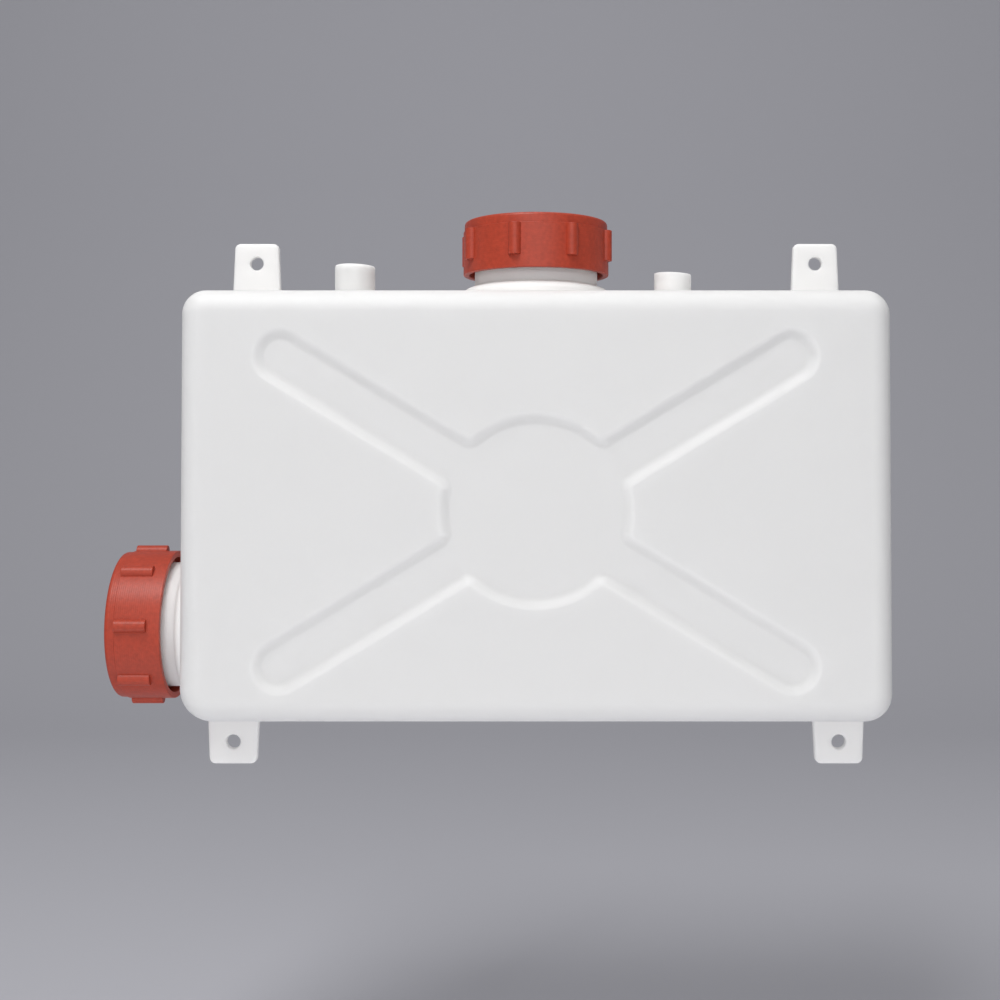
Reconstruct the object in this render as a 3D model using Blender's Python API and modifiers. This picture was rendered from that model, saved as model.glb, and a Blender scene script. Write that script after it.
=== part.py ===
"""Fresh water tank for a food cart: a blow-moulded tank closed by two screw caps.

Metres. +X is to the right of someone facing the tank, +Y goes into the wall it hangs on, and +Z is up.
The origin is on the back plane, midway between the holes of the two upper tabs.
"""

from math import asin, atan2, cos, hypot, pi, radians, sin

import bmesh
import bpy
from mathutils import Matrix, Vector

# Driving dimensions of the tank body.
WIDTH = 0.457
DEPTH = 0.152
HEIGHT = 0.2775
EDGE_RADIUS = 0.0165
WALL = 0.003
TOP_Z = -0.0357  # the body's top surface, below the upper tab holes
BOTTOM_Z = TOP_Z - HEIGHT
MIDDLE = Vector((0, -DEPTH / 2, TOP_Z - HEIGHT / 2))

# The X-shaped stiffening recess in the front and back faces.
RECESS_DEPTH = 0.0045
RECESS_DRAFT = 0.0040  # how far its sloping wall reaches in from the rim
RECESS_DROP = 0.0033  # of the X's centre below the middle of the body
ARM_END_X = 0.1629
ARM_END_Z = 0.0985
ARM_RADIUS = 0.0155
HUB_RADIUS = 0.060
CUT_PROUD = 0.004  # how far the recess cutters start outside the faces

# Spouts: a collar on the body, then a threaded neck. Heights are above the face that carries them.
COLLAR_RADIUS = 0.050
COLLAR_HEIGHT = 0.0084
COLLAR_ROUND = 0.005
NECK_RADIUS = 0.042
NECK_HEIGHT = 0.0465
NECK_RIM_CHAMFER = 0.0006
SIDE_SPOUT_RISE = 0.0553  # axis of the side spout above the tank's bottom

# Screw thread, one start and right-handed.
PITCH = 0.006
TURNS = 2
NECK_THREAD_RADIUS = 0.0453
NECK_THREAD_START = 0.0285
CAP_THREAD_RADIUS = 0.0426
CAP_THREAD_START = 0.0255
RIDGE_ROOT = 0.0034
RIDGE_CREST = 0.0016
RIDGE_BURIED = 0.0012  # how deep a ridge's root sits in the wall that carries it

# Caps. Heights are above the face that carries the spout.
SKIRT_BOTTOM = 0.0170
SKIRT_TOP = 0.0467
CAP_TOP = 0.0535
CAP_RADIUS = 0.050
CAP_BAND_RADIUS = 0.0493
CAP_BAND_STEP = 0.0004  # height of the slope between skirt and band
CAP_EDGE_RISE = 0.0022  # the band's end below the cap's top
CAP_EDGE = ((0.0005, 0.0007), (0.0020, 0))  # (in from the band, down from the top) of the rounded edge
CAP_BORE = 0.0459
CAP_RIM_CHAMFER = 0.0006
CAP_CEILING = 0.0495
CAP_DISH_RADIUS = 0.0385
CAP_DISH = 0.0013
LUGS = 8
LUG_RADIUS = 0.00435
LUG_LENGTH = 0.0212
LUG_PROUD = 0.0037
LUG_SETBACK = 0.0002  # of the lugs' upper ends below the top of the skirt

# Flat gaskets, pinched between the cap's ceiling and the neck's rim.
GAP = 0.0003
GASKET_INNER = 0.0385
GASKET_OUTER = 0.0452

# Stubs on the top face, in the mould's parting plane.
BLIND_STUB_X = -0.125
BLIND_STUB_RADIUS = 0.01365
BLIND_STUB_HEIGHT = 0.0246
PORT_X = 0.0944
PORT_RADIUS = 0.01255
PORT_HEIGHT = 0.0187
STUB_RIM = 0.0015

# Mounting tabs: the upper pair in the back plane, the lower pair in the parting plane.
TAB_X = 0.2069
TAB_THICK = 0.0065
TAB_SETBACK = 0.0002  # of the upper tabs in front of the back plane, so that they bed into the back wall
UPPER_TAB_ROOT = 0.010  # how far the upper tabs run down the flat of the back wall
TAB_END_WIDTH = 0.0322
TAB_TAPER = 0.08  # width gained for each metre from the end towards the body
TAB_CORNER = 0.004
TAB_HOLE_RADIUS = 0.0049
TAB_HOLE_TO_END = 0.0149
LOWER_HOLE_DROP = 0.0247  # lower tab holes below the tank's bottom

ROUND_STEPS = 40
HOLE_STEPS = 24
HUB_ARC_STEPS = 8
ARM_END_STEPS = 8
EDGE_STEPS = 4
RIM_STEPS = 2
OVERRUN = 0.005  # how far a cutter runs past the open end of a hole
NAME = "fresh_water_tank"


def clear_scene():
    for item in list(bpy.data.objects):
        bpy.data.objects.remove(item, do_unlink=True)


def new_collection(name, helpers=False):
    made = bpy.data.collections.new(name)
    bpy.context.scene.collection.children.link(made)
    made.hide_render = helpers
    return made


def new_material(name, colour, roughness):
    made = bpy.data.materials.new(name)
    made.use_nodes = True
    shader = made.node_tree.nodes["Principled BSDF"]
    shader.inputs["Base Color"].default_value = (*colour, 1)
    shader.inputs["Roughness"].default_value = roughness
    shader.inputs["Metallic"].default_value = 0.0
    return made


def add_object(name, bm, collection, material=None):
    """Turn a bmesh into an object. Helpers carry no material and stay out of renders."""
    mesh = bpy.data.meshes.new(name)
    bmesh.ops.recalc_face_normals(bm, faces=bm.faces)
    bm.to_mesh(mesh)
    bm.free()
    made = bpy.data.objects.new(name, mesh)
    collection.objects.link(made)
    if material is None:
        made.hide_render = True
        made.display_type = "WIRE"
    else:
        mesh.materials.append(material)
    return made


def boolean(target, operation, operand):
    """Join or cut the target with one object, or with every object of a collection."""
    made = target.modifiers.new(operation.title(), "BOOLEAN")
    made.operation = operation
    made.solver = "EXACT"
    if isinstance(operand, bpy.types.Collection):
        made.operand_type = "COLLECTION"
        made.collection = operand
    else:
        made.object = operand


def smooth(made):
    made.data.shade_smooth()
    made.data.set_sharp_from_angle(angle=radians(30))


def turned(name, profile, collection, material=None, closed=False):
    """Turn a profile of (radius, height) points about Z. It runs from the top down the outer side."""
    bm = bmesh.new()
    points = [bm.verts.new((radius, 0, height)) for radius, height in profile]
    for upper, lower in zip(points, points[1:]):
        bm.edges.new((upper, lower))
    if closed:
        bm.edges.new((points[-1], points[0]))
    made = add_object(name, bm, collection, material)
    screw = made.modifiers.new("Turn", "SCREW")
    screw.steps = ROUND_STEPS
    screw.render_steps = ROUND_STEPS
    screw.use_merge_vertices = True
    screw.merge_threshold = 0.00001
    return made


def arc(centre_radius, centre_height, radius, start, end, steps):
    """Profile points along an arc, with its angles in degrees from the outward direction."""
    angles = [radians(start + (end - start) * step / steps) for step in range(steps + 1)]
    return [(centre_radius + radius * cos(a), centre_height + radius * sin(a)) for a in angles]


def rounded_block(name, inset, collection, material=None):
    """The body's rounded block, made smaller by the inset on every side."""
    bm = bmesh.new()
    size = Matrix.Diagonal((WIDTH - 2 * inset, DEPTH - 2 * inset, HEIGHT - 2 * inset, 1))
    bmesh.ops.create_cube(bm, size=1, matrix=Matrix.Translation(MIDDLE) @ size)
    bmesh.ops.bevel(
        bm,
        geom=bm.edges[:],
        offset=EDGE_RADIUS - inset,
        segments=EDGE_STEPS,
        profile=0.5,
        affect="EDGES",
    )
    return add_object(name, bm, collection, material)


def cylinder(name, radius, base, top, x, y, collection):
    """An upright cylinder between two heights."""
    bm = bmesh.new()
    bmesh.ops.create_cone(
        bm,
        cap_ends=True,
        segments=HOLE_STEPS,
        radius1=radius,
        radius2=radius,
        depth=top - base,
        matrix=Matrix.Translation((x, y, (base + top) / 2)),
    )
    return add_object(name, bm, collection)


def recess_outline(inset):
    """The plan of the X as (x, z) points about its centre, anticlockwise, drawn in by the inset."""
    arm_angle = atan2(ARM_END_Z, ARM_END_X)
    reach = hypot(ARM_END_X, ARM_END_Z)
    half_width = ARM_RADIUS - inset
    hub = HUB_RADIUS - inset
    spread = asin(half_width / hub)
    points = []
    previous = -arm_angle
    for direction in (arm_angle, pi - arm_angle, pi + arm_angle, 2 * pi - arm_angle):
        for step in range(HUB_ARC_STEPS + 1):
            angle = previous + spread + (direction - previous - 2 * spread) * step / HUB_ARC_STEPS
            points.append((hub * cos(angle), hub * sin(angle)))
        for step in range(ARM_END_STEPS + 1):
            angle = direction + pi * (step / ARM_END_STEPS - 0.5)
            x = reach * cos(direction) + half_width * cos(angle)
            z = reach * sin(direction) + half_width * sin(angle)
            points.append((x, z))
        previous = direction
    return points


def recess_cutter(name, facing, inset, collection):
    """The X with its sloping walls, for the front (-1) or back (+1) face.

    The inset is how far inside the body's surface the cut starts, and its plan grows to keep the wall even.
    """
    grow = inset * (2**0.5 - 1)
    rim_grow = CUT_PROUD * RECESS_DRAFT / RECESS_DEPTH
    face_y = MIDDLE.y + facing * (DEPTH / 2 - inset)
    rim = recess_outline(-grow - rim_grow)
    floor = recess_outline(RECESS_DRAFT - grow)
    bm = bmesh.new()
    for outline, y in ((rim, face_y + facing * CUT_PROUD), (floor, face_y - facing * RECESS_DEPTH)):
        bm.faces.new([bm.verts.new((x, y, MIDDLE.z - RECESS_DROP + z)) for x, z in outline])
    bmesh.ops.bridge_loops(bm, edges=bm.edges[:])
    return add_object(name, bm, collection)


def thread_ridge(name, surface_radius, crest_radius, start, collection):
    """A right-hand helical ridge about Z, whose root is buried in the wall that carries it."""
    steps = TURNS * ROUND_STEPS
    into_wall = RIDGE_BURIED if surface_radius > crest_radius else -RIDGE_BURIED
    buried_radius = surface_radius + into_wall
    flare = (RIDGE_ROOT - RIDGE_CREST) / (surface_radius - crest_radius)
    buried_width = RIDGE_CREST + flare * (buried_radius - crest_radius)
    bm = bmesh.new()
    section = [
        bm.verts.new((radius, 0, start + half))
        for radius, half in (
            (buried_radius, -buried_width / 2),
            (crest_radius, -RIDGE_CREST / 2),
            (crest_radius, RIDGE_CREST / 2),
            (buried_radius, buried_width / 2),
        )
    ]
    face = bm.faces.new(section)
    bmesh.ops.spin(
        bm,
        geom=[face, *face.edges, *face.verts],
        cent=(0, 0, 0),
        axis=(0, 0, 1),
        dvec=(0, 0, PITCH * TURNS / steps),
        angle=TURNS * 2 * pi,
        steps=steps,
        use_duplicate=False,
    )
    return add_object(name, bm, collection)


def spout(name, place, collection):
    """The solid of a collar and its neck, standing on the face at the given place."""
    buried = -EDGE_RADIUS
    round_radius = COLLAR_RADIUS - COLLAR_ROUND
    round_height = COLLAR_HEIGHT - COLLAR_ROUND
    shoulder = arc(round_radius, round_height, COLLAR_ROUND, 90, 0, EDGE_STEPS)
    profile = [
        (0, NECK_HEIGHT),
        (NECK_RADIUS - NECK_RIM_CHAMFER, NECK_HEIGHT),
        (NECK_RADIUS, NECK_HEIGHT - NECK_RIM_CHAMFER),
        (NECK_RADIUS, COLLAR_HEIGHT),
        *shoulder,
        (COLLAR_RADIUS, buried),
        (0, buried),
    ]
    made = turned(name, profile, collection)
    made.matrix_world = place
    thread = thread_ridge(
        f"{name}_thread", NECK_RADIUS, NECK_THREAD_RADIUS, NECK_THREAD_START, collection
    )
    thread.matrix_world = place


def bore(name, place, collection):
    """The hole through a neck, from inside the tank to above its rim."""
    radius = NECK_RADIUS - WALL
    top = NECK_HEIGHT + OVERRUN
    inside = -WALL - 2 * OVERRUN
    made = turned(name, [(0, top), (radius, top), (radius, inside), (0, inside)], collection)
    made.matrix_world = place
    return made


def tab(name, side, root_z, end_z, back_y, collection):
    """A flat tab that tapers from the body to its rounded end."""
    root_width = TAB_END_WIDTH + TAB_TAPER * abs(end_z - root_z)
    bm = bmesh.new()
    bmesh.ops.create_cube(bm, size=1)
    for vert in bm.verts:
        at_end = vert.co.z > 0
        width = TAB_END_WIDTH if at_end else root_width
        vert.co.x = side * TAB_X + vert.co.x * width
        vert.co.y = back_y + (vert.co.y - 0.5) * TAB_THICK
        vert.co.z = end_z if at_end else root_z
    end_face = max(bm.faces, key=lambda face: -abs(face.calc_center_median().z - end_z))
    corners = [edge for edge in end_face.edges if abs(edge.verts[0].co.y - edge.verts[1].co.y) > WALL]
    bmesh.ops.bevel(
        bm, geom=corners, offset=TAB_CORNER, segments=EDGE_STEPS, profile=0.5, affect="EDGES"
    )
    add_object(name, bm, collection)


def tab_hole(name, side, hole_z, back_y, collection):
    """The cutter of the screw hole through a tab."""
    bm = bmesh.new()
    place = Matrix.Translation((side * TAB_X, back_y - TAB_THICK / 2, hole_z))
    bmesh.ops.create_cone(
        bm,
        cap_ends=True,
        segments=HOLE_STEPS,
        radius1=TAB_HOLE_RADIUS,
        radius2=TAB_HOLE_RADIUS,
        depth=3 * TAB_THICK,
        matrix=place @ Matrix.Rotation(pi / 2, 4, "X"),
    )
    add_object(name, bm, collection)


def stub(name, x, radius, height, collection):
    """A round stub on the top face, with a rounded rim."""
    profile = [
        (0, height),
        *arc(radius - STUB_RIM, height - STUB_RIM, STUB_RIM, 90, 0, RIM_STEPS),
        (radius, -EDGE_RADIUS),
        (0, -EDGE_RADIUS),
    ]
    made = turned(name, profile, collection)
    made.location = (x, MIDDLE.y, TOP_Z)


def tank_cavity(places, helpers):
    """The water space with its bores, which is cut from the solid tank to leave an even wall."""
    cavity = rounded_block("cavity", WALL, helpers)
    for facing, face in ((-1, "front"), (1, "back")):
        cutter = recess_cutter(f"inner_recess_{face}", facing, WALL, helpers)
        boolean(cavity, "DIFFERENCE", cutter)
    for name, place in places.items():
        boolean(cavity, "UNION", bore(f"{name}_bore", place, helpers))
    below = TOP_Z - WALL - OVERRUN
    blind_top = TOP_Z + BLIND_STUB_HEIGHT - WALL
    port_top = TOP_Z + PORT_HEIGHT + OVERRUN
    blind = cylinder(
        "blind_stub_bore", BLIND_STUB_RADIUS - WALL, below, blind_top, BLIND_STUB_X, MIDDLE.y, helpers
    )
    port = cylinder("port_bore", PORT_RADIUS - WALL, below, port_top, PORT_X, MIDDLE.y, helpers)
    boolean(cavity, "UNION", blind)
    boolean(cavity, "UNION", port)
    return cavity


def tank_shell(places, parts, helpers, material):
    """The one-piece blow moulding: body, collars, threaded necks, stubs and tabs."""
    additions = new_collection(f"{NAME}_additions", helpers=True)
    holes = new_collection(f"{NAME}_holes", helpers=True)
    for name, place in places.items():
        spout(f"{name}_spout", place, additions)
    stub("blind_stub", BLIND_STUB_X, BLIND_STUB_RADIUS, BLIND_STUB_HEIGHT, additions)
    stub("port", PORT_X, PORT_RADIUS, PORT_HEIGHT, additions)
    lower_back_y = MIDDLE.y + TAB_THICK / 2
    for side, word in ((-1, "left"), (1, "right")):
        root_z = TOP_Z - EDGE_RADIUS - UPPER_TAB_ROOT
        tab(f"upper_tab_{word}", side, root_z, TAB_HOLE_TO_END, -TAB_SETBACK, additions)
        tab_hole(f"upper_hole_{word}", side, 0, 0, holes)
        hole_z = BOTTOM_Z - LOWER_HOLE_DROP
        tab(
            f"lower_tab_{word}",
            side,
            BOTTOM_Z + WALL / 2,
            hole_z - TAB_HOLE_TO_END,
            lower_back_y,
            additions,
        )
        tab_hole(f"lower_hole_{word}", side, hole_z, lower_back_y, holes)
    shell = rounded_block("tank_shell", 0, parts, material)
    boolean(shell, "UNION", additions)
    for facing, face in ((-1, "front"), (1, "back")):
        boolean(shell, "DIFFERENCE", recess_cutter(f"recess_{face}", facing, 0, helpers))
    boolean(shell, "DIFFERENCE", tank_cavity(places, helpers))
    boolean(shell, "DIFFERENCE", holes)
    smooth(shell)


def grip_lug(name, angle, collection):
    """A half-round bar on the skirt, flat where it is buried in the skirt's wall."""
    bm = bmesh.new()
    height = LUG_LENGTH - LUG_SETBACK
    centre = Vector((CAP_RADIUS + LUG_PROUD - LUG_RADIUS, 0, SKIRT_TOP - LUG_SETBACK - height / 2))
    bmesh.ops.create_cone(
        bm,
        cap_ends=True,
        segments=HOLE_STEPS,
        radius1=LUG_RADIUS,
        radius2=LUG_RADIUS,
        depth=height,
        matrix=Matrix.Translation(centre),
    )
    innermost = CAP_BORE + (CAP_RADIUS - CAP_BORE) / 2
    behind = [vert for vert in bm.verts if vert.co.x < innermost]
    bmesh.ops.scale(
        bm, vec=(0, 1, 1), space=Matrix.Translation((-innermost, 0, 0)), verts=behind
    )
    bmesh.ops.dissolve_degenerate(bm, dist=GAP / 10, edges=bm.edges)
    bmesh.ops.rotate(bm, verts=bm.verts, matrix=Matrix.Rotation(angle, 3, "Z"))
    return add_object(name, bm, collection)


def screw_cap(name, place, first_lug, parts, helpers, material):
    """A one-piece screw cap with grip lugs outside and a thread inside."""
    profile = [
        (0, CAP_TOP - CAP_DISH),
        (CAP_DISH_RADIUS, CAP_TOP - CAP_DISH),
        (CAP_DISH_RADIUS + CAP_DISH, CAP_TOP),
        *[(CAP_BAND_RADIUS - inward, CAP_TOP - down) for inward, down in reversed(CAP_EDGE)],
        (CAP_BAND_RADIUS, CAP_TOP - CAP_EDGE_RISE),
        (CAP_BAND_RADIUS, SKIRT_TOP + CAP_BAND_STEP),
        (CAP_RADIUS, SKIRT_TOP),
        (CAP_RADIUS, SKIRT_BOTTOM + CAP_RIM_CHAMFER),
        (CAP_RADIUS - CAP_RIM_CHAMFER, SKIRT_BOTTOM),
        (CAP_BORE, SKIRT_BOTTOM),
        (CAP_BORE, CAP_CEILING),
        (0, CAP_CEILING),
    ]
    cap = turned(name, profile, parts, material)
    cap.matrix_world = place
    lugs = new_collection(f"{name}_lugs", helpers=True)
    for step in range(LUGS):
        angle = radians(first_lug + step * 360 / LUGS)
        lug = grip_lug(f"{name}_lug_{step}", angle, lugs)
        lug.matrix_world = place
    boolean(cap, "UNION", lugs)
    thread = thread_ridge(f"{name}_thread", CAP_BORE, CAP_THREAD_RADIUS, CAP_THREAD_START, helpers)
    thread.matrix_world = place
    boolean(cap, "UNION", thread)
    smooth(cap)


def gasket(name, place, parts, material):
    """A flat ring between the neck's rim and the cap's ceiling."""
    top = CAP_CEILING - GAP
    bottom = NECK_HEIGHT + GAP
    profile = [
        (GASKET_INNER, top),
        (GASKET_OUTER, top),
        (GASKET_OUTER, bottom),
        (GASKET_INNER, bottom),
    ]
    ring = turned(name, profile, parts, material, closed=True)
    ring.matrix_world = place
    smooth(ring)


def main():
    clear_scene()
    parts = new_collection(NAME)
    helpers = new_collection(f"{NAME}_cutters", helpers=True)
    white = new_material("natural_hdpe", (0.86, 0.87, 0.86), 0.42)
    red = new_material("red_polypropylene", (0.56, 0.115, 0.055), 0.5)
    black = new_material("black_epdm", (0.02, 0.02, 0.022), 0.75)
    on_top = Matrix.Translation((0, MIDDLE.y, TOP_Z))
    on_side = Matrix.Translation((-WIDTH / 2, MIDDLE.y, BOTTOM_Z + SIDE_SPOUT_RISE))
    places = {"top": on_top, "side": on_side @ Matrix.Rotation(-pi / 2, 4, "Y")}
    tank_shell(places, parts, helpers, white)
    first_lugs = {"top": -106.5, "side": -85.0}
    for name, place in places.items():
        screw_cap(f"{name}_cap", place, first_lugs[name], parts, helpers, red)
        gasket(f"{name}_cap_gasket", place, parts, black)


main()
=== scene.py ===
"""The looks of a wall-hung fresh water tank: a blow-moulded tank, its two screw caps and their gaskets.

Metres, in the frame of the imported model: +X is to the right of someone facing the tank, +Y goes into
the wall it hangs on, and +Z is up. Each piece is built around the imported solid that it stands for.
"""

from math import atan2, asin, cos, hypot, pi, radians, sin

import bmesh
import bpy
from bpy.props import FloatProperty, FloatVectorProperty, PointerProperty
from mathutils import Matrix, Vector


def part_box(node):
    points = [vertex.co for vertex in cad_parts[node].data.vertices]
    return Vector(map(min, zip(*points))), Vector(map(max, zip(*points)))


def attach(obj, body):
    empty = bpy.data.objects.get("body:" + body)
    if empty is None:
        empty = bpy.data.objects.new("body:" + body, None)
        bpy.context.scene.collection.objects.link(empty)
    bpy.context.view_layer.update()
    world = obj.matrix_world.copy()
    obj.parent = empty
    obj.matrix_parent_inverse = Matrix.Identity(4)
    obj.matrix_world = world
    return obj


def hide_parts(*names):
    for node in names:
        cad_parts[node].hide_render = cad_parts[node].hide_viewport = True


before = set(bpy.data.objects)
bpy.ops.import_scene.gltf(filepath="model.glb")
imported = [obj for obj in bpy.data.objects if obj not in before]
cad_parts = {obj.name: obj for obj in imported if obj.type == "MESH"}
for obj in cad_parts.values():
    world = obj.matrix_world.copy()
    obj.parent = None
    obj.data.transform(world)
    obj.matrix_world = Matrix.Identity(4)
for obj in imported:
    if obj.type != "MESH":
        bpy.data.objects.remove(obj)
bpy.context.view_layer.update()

bl_info = {
    "name": "Fresh Water Tank",
    "version": (1, 0, 0),
    "blender": (4, 5, 0),
    "location": "View3D > Sidebar > Water Tank",
    "description": "Builds a wall-hung blow-moulded water tank with two screw caps",
    "category": "Object",
}

TANK_LOW, TANK_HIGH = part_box("tank_shell")
TOP_CAP_LOW, TOP_CAP_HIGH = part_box("top_cap")
SIDE_CAP_LOW, SIDE_CAP_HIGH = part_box("side_cap")

# The body. The ridge of the mould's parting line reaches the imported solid's outer size.
RIDGE = 0.0002
RIDGE_HALF_WIDTH = 0.0004
WIDTH = 2 * (TANK_HIGH.x - RIDGE)
DEPTH = TANK_HIGH.y - TANK_LOW.y - 2 * RIDGE
HEIGHT = 0.2775 - 2 * RIDGE
CAP_RISE = 0.0535  # top of a cap above the face that carries its spout
TOP_Z = TOP_CAP_HIGH.z - CAP_RISE
MIDDLE = Vector((0, (TANK_LOW.y + TANK_HIGH.y) / 2, TOP_Z - HEIGHT / 2 - RIDGE))
EDGE_RADIUS = 0.0145
CORNER_RADII = {(-1, 1): 0.0155, (1, 1): 0.0165, (1, -1): 0.0180, (-1, -1): 0.0215}
CORNER_STEPS = 12
EDGE_STEPS = 9

# The X-shaped stiffening recess, at the rim of its soft wall.
ARM_END_X = 0.1629
ARM_END_Z = 0.0985
RECESS_DROP = 0.0033  # of the X's centre below the middle of the body
ARM_HALF_WIDTH = 0.0187
HUB_RADIUS = 0.0632
RIM_FILLET = 0.0022
ARM_END_STEPS = 24
HUB_ARC_STEPS = 26
FILLET_STEPS = 5
# Steps of the soft wall: (inward, downward) as shares of its width and depth.
SOFT_WALL = (
    (0.08, 0.015),
    (0.20, 0.09),
    (0.33, 0.24),
    (0.45, 0.42),
    (0.56, 0.60),
    (0.67, 0.76),
    (0.79, 0.90),
    (0.90, 0.975),
    (1.00, 1.00),
)

# Spouts. Heights are above the face that carries them.
COLLAR_RADIUS = 0.050
COLLAR_PROFILE = (
    (0.0426, 0.0088),
    (0.0440, 0.0083),
    (0.0460, 0.0079),
    (0.0476, 0.0073),
    (0.0489, 0.0064),
    (0.0497, 0.0053),
    (COLLAR_RADIUS, 0.0040),
)
NECK_RADIUS = 0.042
NECK_HEIGHT = 0.0465
NECK_FILLET = 0.0006
SPOUT_STEPS = 144
BURIED = 0.012

# Screw threads, one start and right-handed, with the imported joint's pitch.
PITCH = 0.006
TURNS = 2
THREAD_STEPS = 96
THREAD_RUN_OUT = 0.12  # share of a turn over which a ridge's end dies away
NECK_THREAD_RADIUS = 0.0452
NECK_THREAD_START = 0.0285
CAP_THREAD_RADIUS = 0.0427
CAP_THREAD_START = 0.0255
RIDGE_ROOT = 0.0034
RIDGE_CREST = 0.0016
ROOT_BURIED = 0.0010

# Stubs on the top face.
BLIND_STUB_X = -0.125
BLIND_STUB_RADIUS = 0.01365
BLIND_STUB_HEIGHT = 0.0246
PORT_X = 0.0944
PORT_RADIUS = 0.01255
PORT_HEIGHT = 0.0187
STUB_STEPS = 64
BLIND_STUB = (BLIND_STUB_X, BLIND_STUB_RADIUS, BLIND_STUB_HEIGHT)
PORT = (PORT_X, PORT_RADIUS, PORT_HEIGHT)
# Rounding of each stub's rim, and how far its trimmed end leans.
BLIND_STUB_END = (0.0018, 0.0004)
PORT_END = (0.0004, 0.0006)

# Mounting tabs.
TAB_X = 0.2069
TAB_THICK = 0.0065
TAB_SETBACK = 0.0006
TAB_END_WIDTH = 0.0322
TAB_TAPER = 0.08
TAB_CORNER = 0.004
TAB_EDGE = 0.0013
UPPER_TAB_ROOT = 0.012  # how far the upper tabs run down the flat of the back wall
TAB_RUN_OUT = 0.0056  # rounding where an upper tab dies away into the back wall
TAB_HOLE_RADIUS = 0.0049
TAB_HOLE_CHAMFER = 0.0006
TAB_HOLE_TO_END = 0.0149
LOWER_HOLE_DROP = 0.0247

# Caps. Heights are above the face that carries the spout.
CAP_RADIUS = 0.050
CAP_BORE = 0.0459
CAP_CEILING = 0.0495
CAP_SKIRT_BOTTOM = 0.0170
CAP_SKIRT_TOP = 0.0467
CAP_STEPS = 144
LUGS = 8
LUG_RADIUS = 0.00435
LUG_LENGTH = 0.0212
LUG_PROUD = 0.0037
LUG_EDGE = 0.0004
LUG_BURIED = 0.0021  # how deep a lug's flat back sits in the skirt

CAP_BAND_RADIUS = 0.0493
CAP_BREAK = 0.0002  # the small rounding at the step between skirt and band
CAP_RIM_BREAK = 0.0005
# The crown of a cap from the middle of its dish to the band: (radius, below the cap's top).
CAP_CROWN = (
    (0, 0.0013),
    (0.0382, 0.0013),
    (0.0387, 0.0011),
    (0.0394, 0.0002),
    (0.0399, 0),
    (0.0472, 0),
    (0.0480, 0.0002),
    (0.0487, 0.0007),
    (0.0491, 0.0015),
    (0.0492, 0.0024),
)
FIRST_LUGS = {"top": -106.5, "side": -85.0}  # degrees round the spout's axis
TURNED_ALONG = {"top": "Z", "side": "X"}  # world axis of each cap

GASKET_INNER = 0.0385
GASKET_OUTER = 0.0452
GASKET_GAP = 0.0003
GASKET_EDGE = 0.0003

# Sizes of the surface patterns.
WALL_CLOUD = 0.080  # slow change of tint where the blown wall is thicker
WALL_WAVE = 0.060  # slow unevenness of a blown wall
ORANGE_PEEL = 0.0016  # real peel is about half of this, and is drawn coarser so that it shows
TOOLING_PITCH = 0.0014  # real tool marks are about 0.2 mm apart, and are drawn coarser to show
CAP_GRAIN = 0.0026
RUBBER_GRAIN = 0.0012
PAPER_FIBRE = 0.004
WAVE_RATE = 20  # radians of a wave texture for each unit of its scale

# The stage: a floor that sweeps up into a backdrop, and soft lights.
FLOOR_Z = -0.62
FLOOR_FRONT = -3.2
BACKDROP_Y = 2.6
BACKDROP_TOP = 3.2
BACKDROP_BEND = 1.2
BACKDROP_HALF_WIDTH = 4
BEND_STEPS = 16
# (name, place, target, size of its side, watts)
LIGHTS = (
    ("Key", (-0.6, -1.3, 1.85), (0, 0, -0.15), 0.9, 36),
    ("Front fill", (0.1, -2.6, 0.1), (0, 0, -0.15), 2.4, 28),
    ("Top", (0.1, 0.1, 2.3), (0, 0, -0.1), 1.6, 12),
    ("Floor bounce", (0, -0.65, -0.60), (0, -0.65, 0), 1.0, 2.1),
)
AMBIENT = 0.35
CAMERA_PLACE = (0, -1.033, -0.1462)
CAMERA_PITCH = 1.4  # degrees above level
CAMERA_SHIFT = (-0.036, -0.0728)


def srgb(code):
    """An sRGB hex colour as linear RGB."""
    channels = [int(code[start : start + 2], 16) / 255 for start in (1, 3, 5)]
    return [c / 12.92 if c <= 0.04045 else ((c + 0.055) / 1.055) ** 2.4 for c in channels]


def add_node(tree, kind, inputs=None, **settings):
    """Add a node, with its settings and its inputs' values or links."""
    made = tree.nodes.new(kind)
    for name, value in settings.items():
        setattr(made, name, value)
    for name, value in (inputs or {}).items():
        if isinstance(value, bpy.types.NodeSocket):
            tree.links.new(value, made.inputs[name])
        else:
            made.inputs[name].default_value = value
    return made


def new_material(name):
    made = bpy.data.materials.new(name)
    made.use_nodes = True
    made.node_tree.nodes.clear()
    return made, made.node_tree


def solid(bm):
    """A helper object from a bmesh, with its normals pointing outwards."""
    bmesh.ops.remove_doubles(bm, verts=bm.verts, dist=1e-6)
    bmesh.ops.recalc_face_normals(bm, faces=bm.faces)
    mesh = bpy.data.meshes.new("helper")
    bm.to_mesh(mesh)
    bm.free()
    made = bpy.data.objects.new("helper", mesh)
    bpy.context.scene.collection.objects.link(made)
    return made


def carve(target, operation, tools):
    """Join the tools to the target or cut them from it, all at once, and drop them."""
    rack = bpy.data.collections.new("tools")
    for tool in tools:
        rack.objects.link(tool)
    made = target.modifiers.new("Carve", "BOOLEAN")
    made.operation = operation
    made.solver = "EXACT"
    made.operand_type = "COLLECTION"
    made.collection = rack
    graph = bpy.context.evaluated_depsgraph_get()
    shaped = bpy.data.meshes.new_from_object(target.evaluated_get(graph))
    target.modifiers.clear()
    target.data = shaped
    for tool in tools:
        bpy.data.objects.remove(tool)
    bpy.data.collections.remove(rack)


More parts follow.
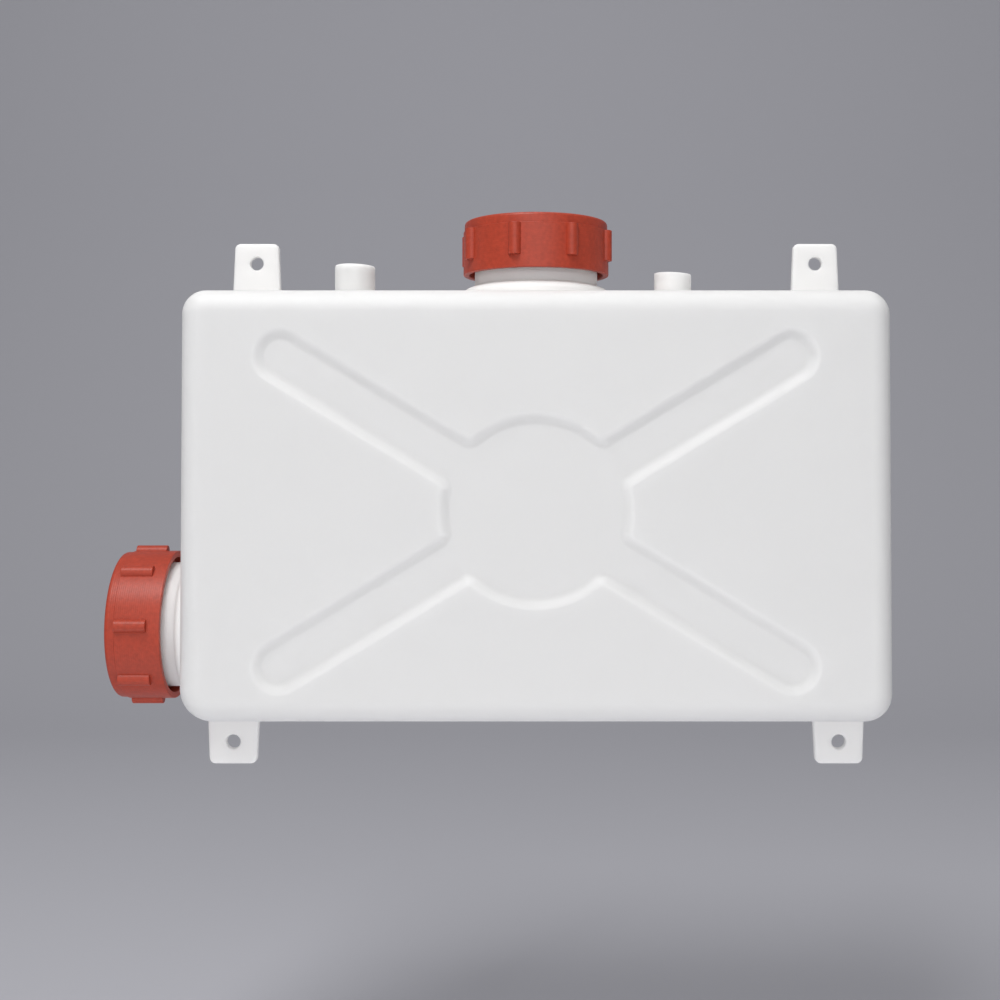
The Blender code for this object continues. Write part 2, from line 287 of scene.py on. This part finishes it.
def bed_in(target, ridge):
    """Put a ridge into the target's mesh as it is, its root sunk in the target's wall."""
    bm = bmesh.new()
    bm.from_mesh(target.data)
    bm.from_mesh(ridge.data)
    bm.to_mesh(target.data)
    bm.free()
    bpy.data.objects.remove(ridge)


def finish_piece(made, name, material, body, node, sharp=35):
    """Name the piece, give it its finish and tie it to the frame."""
    made.name = name
    made.data.name = name
    made.data.materials.clear()
    made.data.materials.append(material)
    made.data.shade_smooth()
    made.data.set_sharp_from_angle(angle=radians(sharp))
    weighted = made.modifiers.new("Even shading", "WEIGHTED_NORMAL")
    weighted.mode = "FACE_AREA"
    weighted.keep_sharp = True
    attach(made, body)
    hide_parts(node)


def turned(profile, steps, place=None, closed=False):
    """Spin a profile of (radius, height) points about Z into a bmesh, and set it in its place."""
    bm = bmesh.new()
    points = [bm.verts.new((radius, 0, height)) for radius, height in profile]
    for first, second in zip(points, points[1:]):
        bm.edges.new((first, second))
    if closed:
        bm.edges.new((points[-1], points[0]))
    bmesh.ops.spin(
        bm,
        geom=[*bm.verts, *bm.edges],
        cent=(0, 0, 0),
        axis=(0, 0, 1),
        angle=2 * pi,
        steps=steps,
        use_merge=True,
    )
    bmesh.ops.remove_doubles(bm, verts=bm.verts, dist=1e-6)
    if place:
        bmesh.ops.transform(bm, matrix=place, verts=bm.verts)
    return bm


def arc(centre_radius, centre_height, radius, start, end, steps):
    """Profile points along an arc, with its angles in degrees from the outward direction."""
    angles = [radians(start + (end - start) * step / steps) for step in range(steps + 1)]
    return [(centre_radius + radius * cos(a), centre_height + radius * sin(a)) for a in angles]


def part_line(bm):
    """Raise the fine ridge that the joint of the two mould halves leaves at mid-depth."""
    for offset in (-RIDGE_HALF_WIDTH, 0, RIDGE_HALF_WIDTH):
        bmesh.ops.bisect_plane(
            bm,
            geom=[*bm.verts, *bm.edges, *bm.faces],
            dist=1e-7,
            plane_co=(0, MIDDLE.y + offset, 0),
            plane_no=(0, 1, 0),
        )
    bm.normal_update()
    for vert in [v for v in bm.verts if abs(v.co.y - MIDDLE.y) < 1e-6]:
        vert.co += vert.normal * RIDGE


def recess_outline(grow):
    """The rim of the X as (x, z, is_corner) points about its centre, anticlockwise."""
    arm_angle = atan2(ARM_END_Z, ARM_END_X)
    reach = hypot(ARM_END_X, ARM_END_Z)
    half_width = ARM_HALF_WIDTH + grow
    hub = HUB_RADIUS + grow
    spread = asin(half_width / hub)
    points = []
    previous = -arm_angle
    for direction in (arm_angle, pi - arm_angle, pi + arm_angle, 2 * pi - arm_angle):
        for step in range(HUB_ARC_STEPS + 1):
            angle = previous + spread + (direction - previous - 2 * spread) * step / HUB_ARC_STEPS
            is_corner = step in (0, HUB_ARC_STEPS)
            points.append((hub * cos(angle), hub * sin(angle), is_corner))
        for step in range(ARM_END_STEPS + 1):
            angle = direction + pi * (step / ARM_END_STEPS - 0.5)
            x = reach * cos(direction) + half_width * cos(angle)
            z = reach * sin(direction) + half_width * sin(angle)
            points.append((x, z, False))
        previous = direction
    return points


def sink_recess(bm, facing, inset, depth, wall_width):
    """Replace the flat face on one side by the same face with the X pressed into it."""
    flats = [f for f in bm.faces if f.normal.y * facing > 0.999]
    flat = max(flats, key=lambda face: face.calc_area())
    y = flat.calc_center_median().y
    rim = list(flat.edges)
    bmesh.ops.delete(bm, geom=[flat], context="FACES_ONLY")
    outline = recess_outline(inset * (2**0.5 - 1))
    ring = [bm.verts.new((x, y, MIDDLE.z - RECESS_DROP + z)) for x, z, _ in outline]
    corners = [vert for vert, point in zip(ring, outline) if point[2]]
    floor = bm.faces.new(ring)
    bmesh.ops.bevel(
        bm,
        geom=corners,
        offset=RIM_FILLET,
        segments=FILLET_STEPS,
        profile=0.5,
        affect="VERTICES",
        material=-1,
    )
    floor = max(
        (f for f in bm.faces if len(f.verts) > 100 and abs(f.calc_center_median().y - y) < 1e-6),
        key=lambda face: face.calc_area(),
    )
    floor.normal_update()
    if floor.normal.y * facing < 0:
        floor.normal_flip()
    bmesh.ops.triangle_fill(
        bm, use_beauty=True, use_dissolve=False, edges=[*rim, *floor.edges], normal=(0, facing, 0)
    )
    previous = (0.0, 0.0)
    for inward, downward in SOFT_WALL:
        bmesh.ops.inset_region(
            bm,
            faces=[floor],
            thickness=(inward - previous[0]) * wall_width,
            depth=-(downward - previous[1]) * depth,
            use_even_offset=True,
            use_boundary=True,
        )
        previous = (inward, downward)


def tank_form(inset, settings):
    """The body's rounded block with its two recesses, made smaller by the inset on every side."""
    bm = bmesh.new()
    size = Vector((WIDTH, DEPTH, HEIGHT)) - Vector((2 * inset, 2 * inset, 2 * inset))
    place = Matrix.Translation(MIDDLE) @ Matrix.Diagonal((*size, 1))
    bmesh.ops.create_cube(bm, size=1, matrix=place)
    for (side, level), radius in CORNER_RADII.items():
        corner = min(
            (e for e in bm.edges if abs(e.verts[0].co.y - e.verts[1].co.y) > DEPTH / 2),
            key=lambda e: -(side * e.verts[0].co.x + level * e.verts[0].co.z),
        )
        bmesh.ops.bevel(
            bm,
            geom=[corner],
            offset=radius - inset,
            segments=CORNER_STEPS,
            profile=0.5,
            affect="EDGES",
            material=-1,
        )
    ends = [f for f in bm.faces if abs(f.normal.y) > 0.999]
    bmesh.ops.bevel(
        bm,
        geom=[edge for face in ends for edge in face.edges],
        offset=EDGE_RADIUS - inset,
        segments=EDGE_STEPS,
        profile=0.5,
        affect="EDGES",
        material=-1,
    )
    for facing in (-1, 1):
        sink_recess(bm, facing, inset, settings.recess_depth, settings.recess_wall)
    return bm


def spout_solid(place):
    """The solid of a collar with its soft shoulder, and the neck on it."""
    profile = [
        (0, NECK_HEIGHT),
        *arc(NECK_RADIUS - NECK_FILLET, NECK_HEIGHT - NECK_FILLET, NECK_FILLET, 90, 0, 3),
        (NECK_RADIUS, 0.0108),
        (NECK_RADIUS + 0.0001, 0.0099),
        (NECK_RADIUS + 0.0003, 0.0093),
        *COLLAR_PROFILE,
        (COLLAR_RADIUS, -BURIED),
        (0, -BURIED),
    ]
    bm = turned(profile, SPOUT_STEPS, place)
    part_line(bm)
    return solid(bm)


def thread_ridge(surface_radius, crest_radius, start, place):
    """A right-hand helical ridge about Z that dies away at both ends, its root buried in the wall."""
    outward = 1 if crest_radius > surface_radius else -1
    buried_radius = surface_radius - outward * ROOT_BURIED
    flare = (RIDGE_ROOT - RIDGE_CREST) / abs(surface_radius - crest_radius)
    buried_width = RIDGE_ROOT + flare * ROOT_BURIED
    steps = TURNS * THREAD_STEPS
    bm = bmesh.new()
    section = [
        bm.verts.new((radius, 0, start + half))
        for radius, half in (
            (buried_radius, -buried_width / 2),
            (crest_radius - outward * 0.0004, -RIDGE_CREST / 2),
            (crest_radius, -RIDGE_CREST / 4),
            (crest_radius, RIDGE_CREST / 4),
            (crest_radius - outward * 0.0004, RIDGE_CREST / 2),
            (buried_radius, buried_width / 2),
        )
    ]
    face = bm.faces.new(section)
    bmesh.ops.spin(
        bm,
        geom=[face, *face.edges, *face.verts],
        cent=(0, 0, 0),
        axis=(0, 0, 1),
        dvec=(0, 0, PITCH * TURNS / steps),
        angle=TURNS * 2 * pi,
        steps=steps,
    )
    for vert in bm.verts:
        turn = atan2(vert.co.y, vert.co.x) / (2 * pi)
        whole = round((vert.co.z - start) / PITCH - turn)
        along = min(max(turn + whole, 0), TURNS)
        share = min(1, along / THREAD_RUN_OUT, (TURNS - along) / THREAD_RUN_OUT)
        radius = hypot(vert.co.x, vert.co.y)
        kept = buried_radius + (radius - buried_radius) * (0.1 + 0.9 * share)
        vert.co.x *= kept / radius
        vert.co.y *= kept / radius
    bmesh.ops.transform(bm, matrix=place, verts=bm.verts)
    return solid(bm)


def plug(radius, base, top, place):
    """A plain round cutter between two heights."""
    return solid(turned([(0, top), (radius, top), (radius, base), (0, base)], STUB_STEPS, place))


def stub_solid(x, radius, height, rim, lean):
    """A round stub on the top face. Its trimmed end leans by a few tenths of a millimetre."""
    profile = [
        (0, height),
        *arc(radius - rim, height - rim, rim, 90, 0, 4),
        (radius, 0.0016),
        *arc(radius + 0.0014, 0.0016, 0.0014, 180, 225, 3),
        (radius + 0.0009, -BURIED),
        (0, -BURIED),
    ]
    bm = turned(profile, STUB_STEPS, Matrix.Translation((x, MIDDLE.y, TOP_Z - RIDGE)))
    for vert in bm.verts:
        if vert.co.z > TOP_Z + height / 2:
            vert.co.z -= lean * (vert.co.x - x) / radius
    part_line(bm)
    return solid(bm)


def tab_solid(side, root_z, end_z, back_y):
    """A flat tab that tapers from the body to its rounded end, with softly moulded edges."""
    root_width = TAB_END_WIDTH + TAB_TAPER * abs(end_z - root_z)
    bm = bmesh.new()
    middle = Vector((side * TAB_X, back_y - TAB_THICK / 2, (root_z + end_z) / 2))
    size = (root_width, TAB_THICK, abs(end_z - root_z), 1)
    bmesh.ops.create_cube(bm, size=1, matrix=Matrix.Translation(middle) @ Matrix.Diagonal(size))
    end_verts = [vert for vert in bm.verts if abs(vert.co.z - end_z) < 1e-6]
    bmesh.ops.scale(
        bm,
        vec=(TAB_END_WIDTH / root_width, 1, 1),
        space=Matrix.Translation(-middle),
        verts=end_verts,
    )
    across = [e for e in bm.edges if abs(e.verts[0].co.y - e.verts[1].co.y) > TAB_THICK / 2]
    corners = [e for e in across if e.verts[0] in end_verts]
    bmesh.ops.bevel(
        bm, geom=corners, offset=TAB_CORNER, segments=8, profile=0.5, affect="EDGES", material=-1
    )
    root_back = [
        e
        for e in bm.edges
        if all(abs(v.co.z - root_z) < 1e-6 and abs(v.co.y - back_y) < 1e-6 for v in e.verts)
    ]
    bmesh.ops.bevel(
        bm, geom=root_back, offset=TAB_RUN_OUT, segments=8, profile=0.5, affect="EDGES", material=-1
    )
    faces = [f for f in bm.faces if abs(f.normal.y) > 0.999]
    outer = [
        e
        for face in faces
        for e in face.edges
        if not all(abs(vert.co.z - root_z) < TAB_RUN_OUT + 1e-5 for vert in e.verts)
    ]
    bmesh.ops.bevel(
        bm, geom=outer, offset=TAB_EDGE, segments=4, profile=0.5, affect="EDGES", material=-1
    )
    return solid(bm)


def hole_cutter(side, hole_z, back_y):
    """The screw hole through a tab, a little wider where it opens on each face."""
    half = TAB_THICK / 2
    reach = half + 0.002
    flare = TAB_HOLE_RADIUS + TAB_HOLE_CHAMFER + reach - half
    profile = [
        (0, reach),
        (flare, reach),
        (TAB_HOLE_RADIUS, half - TAB_HOLE_CHAMFER),
        (TAB_HOLE_RADIUS, TAB_HOLE_CHAMFER - half),
        (flare, -reach),
        (0, -reach),
    ]
    place = Matrix.Translation((side * TAB_X, back_y - half, hole_z)) @ Matrix.Rotation(pi / 2, 4, "X")
    return solid(turned(profile, 48, place))


def spout_places():
    """Where each spout stands, with its axis along local +Z."""
    on_top = Matrix.Translation((0, MIDDLE.y, TOP_Z))
    side_z = (SIDE_CAP_LOW.z + SIDE_CAP_HIGH.z) / 2
    face_x = SIDE_CAP_LOW.x + CAP_RISE
    on_side = Matrix.Translation((face_x, MIDDLE.y, side_z))
    return {"top": on_top, "side": on_side @ Matrix.Rotation(-pi / 2, 4, "Y")}


class WaterTankSettings(bpy.types.PropertyGroup):
    """Sizes and colours that a user would change."""

    recess_depth: FloatProperty(
        name="Recess depth",
        description="Depth of the X pressed into the front and back",
        default=0.0029,
        min=0.001,
        max=0.006,
        unit="LENGTH",
    )
    recess_wall: FloatProperty(
        name="Recess wall",
        description="Width of the soft wall round the X",
        default=0.0088,
        min=0.004,
        max=0.010,
        unit="LENGTH",
    )
    wall: FloatProperty(
        name="Wall",
        description="Thickness of the blow-moulded wall",
        default=0.003,
        min=0.002,
        max=0.005,
        unit="LENGTH",
    )
    tank_colour: FloatVectorProperty(
        name="Tank",
        description="Natural polyethylene",
        subtype="COLOR",
        default=srgb("#EFEEEC"),
        min=0,
        max=1,
    )
    cap_colour: FloatVectorProperty(
        name="Caps",
        description="Brick-red polypropylene",
        subtype="COLOR",
        default=srgb("#A53B26"),
        min=0,
        max=1,
    )
    backdrop_colour: FloatVectorProperty(
        name="Backdrop",
        description="Floor and backdrop",
        subtype="COLOR",
        default=srgb("#BABAC0"),
        min=0,
        max=1,
    )


def natural_hdpe(settings):
    """Natural high-density polyethylene, extrusion blow-moulded.

    It is milky: light enters the wall and spreads, so edges and shallow walls look soft. A blown wall
    is a little uneven, and its skin has a faint orange peel that spreads highlights to a satin sheen.
    """
    made, tree = new_material("natural_hdpe_blow_moulded")
    place = add_node(tree, "ShaderNodeTexCoord").outputs["Object"]
    cloud = add_node(
        tree,
        "ShaderNodeTexNoise",
        {"Vector": place, "Scale": 1 / WALL_CLOUD, "Detail": 2.0, "Roughness": 0.5},
    )
    base = Vector(settings.tank_colour)
    tint = add_node(tree, "ShaderNodeMix", {"Factor": cloud.outputs["Fac"]}, data_type="RGBA")
    tint.inputs["A"].default_value = (*(base * 0.97), 1)
    tint.inputs["B"].default_value = (*base, 1)
    peel = add_node(
        tree,
        "ShaderNodeTexNoise",
        {"Vector": place, "Scale": 1 / ORANGE_PEEL, "Detail": 2.0},
    )
    wave = add_node(
        tree,
        "ShaderNodeTexNoise",
        {"Vector": place, "Scale": 1 / WALL_WAVE, "Detail": 1.0},
    )
    soft = add_node(
        tree,
        "ShaderNodeBump",
        {"Height": wave.outputs["Fac"], "Strength": 0.5, "Distance": 0.0016},
    )
    fine = add_node(
        tree,
        "ShaderNodeBump",
        {
            "Height": peel.outputs["Fac"],
            "Strength": 0.25,
            "Distance": 0.00005,
            "Normal": soft.outputs["Normal"],
        },
    )
    rough = add_node(
        tree,
        "ShaderNodeMapRange",
        {"Value": peel.outputs["Fac"], "To Min": 0.50, "To Max": 0.58},
    )
    shader = add_node(
        tree,
        "ShaderNodeBsdfPrincipled",
        {
            "Base Color": tint.outputs["Result"],
            "Roughness": rough.outputs["Result"],
            "Normal": fine.outputs["Normal"],
            "IOR": 1.54,
            "Subsurface Weight": 1.0,
            "Subsurface Scale": 0.010,
            "Subsurface Radius": (1.0, 1.0, 1.0),
        },
    )
    add_node(tree, "ShaderNodeOutputMaterial", {"Surface": shader.outputs["BSDF"]})
    return made


def red_polypropylene(name, along, settings):
    """Brick-red polypropylene, injection-moulded in a turned mould.

    The mould's fine tool marks run round the cap and break up its satin highlights, and the pigment is
    slightly mottled.
    """
    made, tree = new_material(name)
    place = add_node(tree, "ShaderNodeTexCoord").outputs["Object"]
    lines = add_node(
        tree,
        "ShaderNodeTexWave",
        {
            "Vector": place,
            "Scale": 2 * pi / TOOLING_PITCH / WAVE_RATE,
            "Distortion": 0.8,
            "Detail": 2.0,
        },
        wave_type="BANDS",
        bands_direction=along,
    )
    grain = add_node(
        tree,
        "ShaderNodeTexNoise",
        {"Vector": place, "Scale": 1 / CAP_GRAIN, "Detail": 3.0},
    )
    base = Vector(settings.cap_colour)
    tint = add_node(tree, "ShaderNodeMix", {"Factor": grain.outputs["Fac"]}, data_type="RGBA")
    tint.inputs["A"].default_value = (*(base * 0.72), 1)
    tint.inputs["B"].default_value = (*(base * 1.28), 1)
    tooling = add_node(
        tree,
        "ShaderNodeBump",
        {"Height": lines.outputs["Fac"], "Strength": 0.5, "Distance": 0.00006},
    )
    fine = add_node(
        tree,
        "ShaderNodeBump",
        {
            "Height": grain.outputs["Fac"],
            "Strength": 0.5,
            "Distance": 0.00006,
            "Normal": tooling.outputs["Normal"],
        },
    )
    shader = add_node(
        tree,
        "ShaderNodeBsdfPrincipled",
        {
            "Base Color": tint.outputs["Result"],
            "Roughness": 0.42,
            "Normal": fine.outputs["Normal"],
            "IOR": 1.49,
            "Specular IOR Level": 0.38,
        },
    )
    add_node(tree, "ShaderNodeOutputMaterial", {"Surface": shader.outputs["BSDF"]})
    return made


def black_epdm():
    """Black EPDM rubber, cut from sheet: a dull black with a fine grain and no clear highlight."""
    made, tree = new_material("black_epdm_sheet")
    place = add_node(tree, "ShaderNodeTexCoord").outputs["Object"]
    grain = add_node(
        tree,
        "ShaderNodeTexNoise",
        {"Vector": place, "Scale": 1 / RUBBER_GRAIN, "Detail": 3.0},
    )
    fine = add_node(
        tree,
        "ShaderNodeBump",
        {"Height": grain.outputs["Fac"], "Strength": 0.5, "Distance": 0.00006},
    )
    shader = add_node(
        tree,
        "ShaderNodeBsdfPrincipled",
        {
            "Base Color": (*srgb("#1B1B1D"), 1),
            "Roughness": 0.75,
            "Normal": fine.outputs["Normal"],
        },
    )
    add_node(tree, "ShaderNodeOutputMaterial", {"Surface": shader.outputs["BSDF"]})
    return made


class BuildTankShell(bpy.types.Operator):
    """Build the one-piece tank: body, recesses, spouts, stubs and tabs"""

    bl_idname = "water_tank.build_shell"
    bl_label = "Tank shell"

    def execute(self, context):
        settings = context.scene.water_tank
        outer = tank_form(0, settings)
        part_line(outer)
        shell = solid(outer)
        places = spout_places()
        upper_back = TANK_HIGH.y - TAB_SETBACK
        upper_root = MIDDLE.z + HEIGHT / 2 - EDGE_RADIUS - UPPER_TAB_ROOT
        lower_back = MIDDLE.y + TAB_THICK / 2
        lower_root = MIDDLE.z - HEIGHT / 2 + settings.wall / 2
        hole_z = MIDDLE.z - HEIGHT / 2 - RIDGE - LOWER_HOLE_DROP
        additions = [spout_solid(place) for place in places.values()]
        additions.append(stub_solid(*BLIND_STUB, *BLIND_STUB_END))
        additions.append(stub_solid(*PORT, *PORT_END))
        cuts = [solid(tank_form(settings.wall, settings))]
        for place in places.values():
            cuts.append(plug(NECK_RADIUS - settings.wall, -BURIED, NECK_HEIGHT + BURIED, place))
        for side in (-1, 1):
            additions.append(tab_solid(side, upper_root, TAB_HOLE_TO_END, upper_back))
            cuts.append(hole_cutter(side, 0, upper_back))
            lower_end = hole_z - TAB_HOLE_TO_END
            additions.append(tab_solid(side, lower_root, lower_end, lower_back))
            cuts.append(hole_cutter(side, hole_z, lower_back))
        blind_top = BLIND_STUB_HEIGHT - settings.wall
        for x, radius, top in (
            (BLIND_STUB_X, BLIND_STUB_RADIUS, blind_top),
            (PORT_X, PORT_RADIUS, PORT_HEIGHT + BURIED),
        ):
            place = Matrix.Translation((x, MIDDLE.y, TOP_Z))
            cuts.append(plug(radius - settings.wall, -BURIED, top, place))
        carve(shell, "UNION", additions)
        carve(shell, "DIFFERENCE", cuts)
        for place in places.values():
            bed_in(shell, thread_ridge(NECK_RADIUS, NECK_THREAD_RADIUS, NECK_THREAD_START, place))
        finish_piece(
            shell, "tank_moulding", natural_hdpe(settings), "tank", "tank_shell"
        )
        return {"FINISHED"}


def cap_solid(place, first_lug):
    """A screw cap: turned body with its stepped top band, eight lugs and the thread inside."""
    profile = [
        *[(radius, CAP_RISE - drop) for radius, drop in CAP_CROWN],
        (CAP_BAND_RADIUS, CAP_SKIRT_TOP + CAP_BREAK * 1.5),
        (CAP_RADIUS - CAP_BREAK, CAP_SKIRT_TOP + CAP_BREAK / 2),
        (CAP_RADIUS, CAP_SKIRT_TOP - CAP_BREAK),
        (CAP_RADIUS, CAP_SKIRT_BOTTOM + CAP_RIM_BREAK + CAP_BREAK),
        (CAP_RADIUS - CAP_BREAK, CAP_SKIRT_BOTTOM + CAP_BREAK),
        (CAP_RADIUS - CAP_RIM_BREAK - CAP_BREAK, CAP_SKIRT_BOTTOM),
        (CAP_BORE + CAP_RIM_BREAK, CAP_SKIRT_BOTTOM),
        (CAP_BORE, CAP_SKIRT_BOTTOM + CAP_RIM_BREAK),
        (CAP_BORE, CAP_CEILING),
        (0, CAP_CEILING),
    ]
    cap = solid(turned(profile, CAP_STEPS, place))
    lugs = []
    for step in range(LUGS):
        turn = Matrix.Rotation(radians(first_lug + step * 360 / LUGS), 4, "Z")
        lugs.append(lug_solid(place @ turn))
    lugs.append(thread_ridge(CAP_BORE, CAP_THREAD_RADIUS, CAP_THREAD_START, place))
    carve(cap, "UNION", lugs)
    return cap


def lug_solid(place):
    """A half-round grip bar with flat ends, its back buried in the skirt."""
    bm = bmesh.new()
    height = LUG_LENGTH - CAP_BREAK
    top = CAP_SKIRT_TOP - CAP_BREAK
    centre = Vector((CAP_RADIUS + LUG_PROUD - LUG_RADIUS, 0, top - height / 2))
    bmesh.ops.create_cone(
        bm,
        cap_ends=True,
        segments=40,
        radius1=LUG_RADIUS,
        radius2=LUG_RADIUS,
        depth=height,
        matrix=Matrix.Translation(centre),
    )
    ends = [f for f in bm.faces if abs(f.normal.z) > 0.9]
    bmesh.ops.bevel(
        bm,
        geom=[e for face in ends for e in face.edges],
        offset=LUG_EDGE,
        segments=3,
        profile=0.5,
        affect="EDGES",
        material=-1,
    )
    bmesh.ops.bisect_plane(
        bm,
        geom=[*bm.verts, *bm.edges, *bm.faces],
        dist=1e-7,
        plane_co=(CAP_RADIUS - LUG_BURIED, 0, 0),
        plane_no=(-1, 0, 0),
        clear_outer=True,
    )
    bmesh.ops.holes_fill(bm, edges=[e for e in bm.edges if e.is_boundary])
    bmesh.ops.transform(bm, matrix=place, verts=bm.verts)
    return solid(bm)


class BuildCaps(bpy.types.Operator):
    """Build the two screw caps"""

    bl_idname = "water_tank.build_caps"
    bl_label = "Screw caps"

    def execute(self, context):
        settings = context.scene.water_tank
        for name, place in spout_places().items():
            material = red_polypropylene(f"red_polypropylene_{name}", TURNED_ALONG[name], settings)
            cap = cap_solid(place, FIRST_LUGS[name])
            body = f"{name}_cap"
            finish_piece(cap, f"{body}_moulding", material, body, body)
        return {"FINISHED"}


class BuildGaskets(bpy.types.Operator):
    """Build the flat ring under each cap's ceiling"""

    bl_idname = "water_tank.build_gaskets"
    bl_label = "Gaskets"

    def execute(self, context):
        rubber = black_epdm()
        top = CAP_CEILING - GASKET_GAP
        bottom = NECK_HEIGHT + GASKET_GAP
        edge = GASKET_EDGE
        profile = [
            (GASKET_INNER + edge, top),
            (GASKET_OUTER - edge, top),
            (GASKET_OUTER, top - edge),
            (GASKET_OUTER, bottom + edge),
            (GASKET_OUTER - edge, bottom),
            (GASKET_INNER + edge, bottom),
            (GASKET_INNER, bottom + edge),
            (GASKET_INNER, top - edge),
        ]
        for name, place in spout_places().items():
            ring = solid(turned(profile, CAP_STEPS, place, closed=True))
            node = f"{name}_cap_gasket"
            finish_piece(ring, f"{name}_gasket_ring", rubber, f"{name}_gasket", node)
        return {"FINISHED"}


def backdrop_sheet():
    """A wide sheet that lies on the floor and sweeps up behind the tank."""
    foot = BACKDROP_Y - BACKDROP_BEND
    profile = [Vector((0, FLOOR_FRONT, FLOOR_Z)), Vector((0, foot, FLOOR_Z))]
    for step in range(1, BEND_STEPS + 1):
        angle = pi / 2 * step / BEND_STEPS
        rise = BACKDROP_BEND * (1 - cos(angle))
        profile.append(Vector((0, foot + BACKDROP_BEND * sin(angle), FLOOR_Z + rise)))
    profile.append(Vector((0, BACKDROP_Y, BACKDROP_TOP)))
    bm = bmesh.new()
    verts = [bm.verts.new(point + Vector((-BACKDROP_HALF_WIDTH, 0, 0))) for point in profile]
    edges = [bm.edges.new(pair) for pair in zip(verts, verts[1:])]
    swept = bmesh.ops.extrude_edge_only(bm, edges=edges)
    moved = [item for item in swept["geom"] if isinstance(item, bmesh.types.BMVert)]
    bmesh.ops.translate(bm, vec=(2 * BACKDROP_HALF_WIDTH, 0, 0), verts=moved)
    mesh = bpy.data.meshes.new("backdrop")
    bm.to_mesh(mesh)
    bm.free()
    mesh.shade_smooth()
    made = bpy.data.objects.new("backdrop", mesh)
    bpy.context.scene.collection.objects.link(made)
    return made


def matt_backdrop_paper(settings):
    """Seamless backdrop paper: matt, with a faint fibre that keeps it from looking like a flat tone."""
    made, tree = new_material("matt_backdrop_paper")
    place = add_node(tree, "ShaderNodeTexCoord").outputs["Object"]
    fibre = add_node(
        tree,
        "ShaderNodeTexNoise",
        {"Vector": place, "Scale": 1 / PAPER_FIBRE, "Detail": 2.0},
    )
    press = add_node(
        tree,
        "ShaderNodeBump",
        {"Height": fibre.outputs["Fac"], "Strength": 0.1, "Distance": 0.0002},
    )
    shader = add_node(
        tree,
        "ShaderNodeBsdfPrincipled",
        {
            "Base Color": (*settings.backdrop_colour, 1),
            "Roughness": 0.9,
            "Specular IOR Level": 0.1,
            "Normal": press.outputs["Normal"],
        },
    )
    add_node(tree, "ShaderNodeOutputMaterial", {"Surface": shader.outputs["BSDF"]})
    return made


class BuildStage(bpy.types.Operator):
    """Set up the floor, the backdrop, the lights and the camera"""

    bl_idname = "water_tank.build_stage"
    bl_label = "Stage"

    def execute(self, context):
        scene = context.scene
        backdrop = backdrop_sheet()
        backdrop.data.materials.append(matt_backdrop_paper(scene.water_tank))

        for light in LIGHTS:
            add_area_light(*light)
        world = bpy.data.worlds.new("Studio")
        world.use_nodes = True
        background = world.node_tree.nodes["Background"]
        background.inputs["Color"].default_value = (*srgb("#ECECEE"), 1)
        background.inputs["Strength"].default_value = AMBIENT
        scene.world = world
        scene.view_settings.view_transform = "Standard"

        data = bpy.data.cameras.new("Camera")
        data.lens = 50
        data.sensor_width = 36
        data.shift_x, data.shift_y = CAMERA_SHIFT
        camera = bpy.data.objects.new("Camera", data)
        camera.location = CAMERA_PLACE
        camera.rotation_euler = (radians(90 + CAMERA_PITCH), 0, 0)
        scene.collection.objects.link(camera)
        scene.camera = camera
        return {"FINISHED"}


def add_area_light(name, place, target, size, power):
    """A square soft light that looks at the target."""
    data = bpy.data.lights.new(name, "AREA")
    data.shape = "SQUARE"
    data.size = size
    data.energy = power
    light = bpy.data.objects.new(name, data)
    light.location = place
    light.rotation_euler = (Vector(target) - Vector(place)).to_track_quat("-Z", "Y").to_euler()
    bpy.context.scene.collection.objects.link(light)


OPERATORS = (BuildTankShell, BuildCaps, BuildGaskets, BuildStage)


class WaterTankPanel(bpy.types.Panel):
    """Lists the sizes, the colours and the pieces"""

    bl_idname = "VIEW3D_PT_water_tank"
    bl_label = "Fresh Water Tank"
    bl_space_type = "VIEW_3D"
    bl_region_type = "UI"
    bl_category = "Water Tank"

    def draw(self, context):
        settings = context.scene.water_tank
        for name in settings.bl_rna.properties.keys():
            if name not in ("rna_type", "name"):
                self.layout.prop(settings, name)
        for operator in OPERATORS:
            self.layout.operator(operator.bl_idname)


CLASSES = (WaterTankSettings, *OPERATORS, WaterTankPanel)


def register():
    for cls in CLASSES:
        bpy.utils.register_class(cls)
    bpy.types.Scene.water_tank = PointerProperty(type=WaterTankSettings)


def unregister():
    del bpy.types.Scene.water_tank
    for cls in reversed(CLASSES):
        bpy.utils.unregister_class(cls)


def main():
    register()
    bpy.ops.water_tank.build_shell()
    bpy.ops.water_tank.build_caps()
    bpy.ops.water_tank.build_gaskets()
    bpy.ops.water_tank.build_stage()


if __name__ == "__main__":
    main()
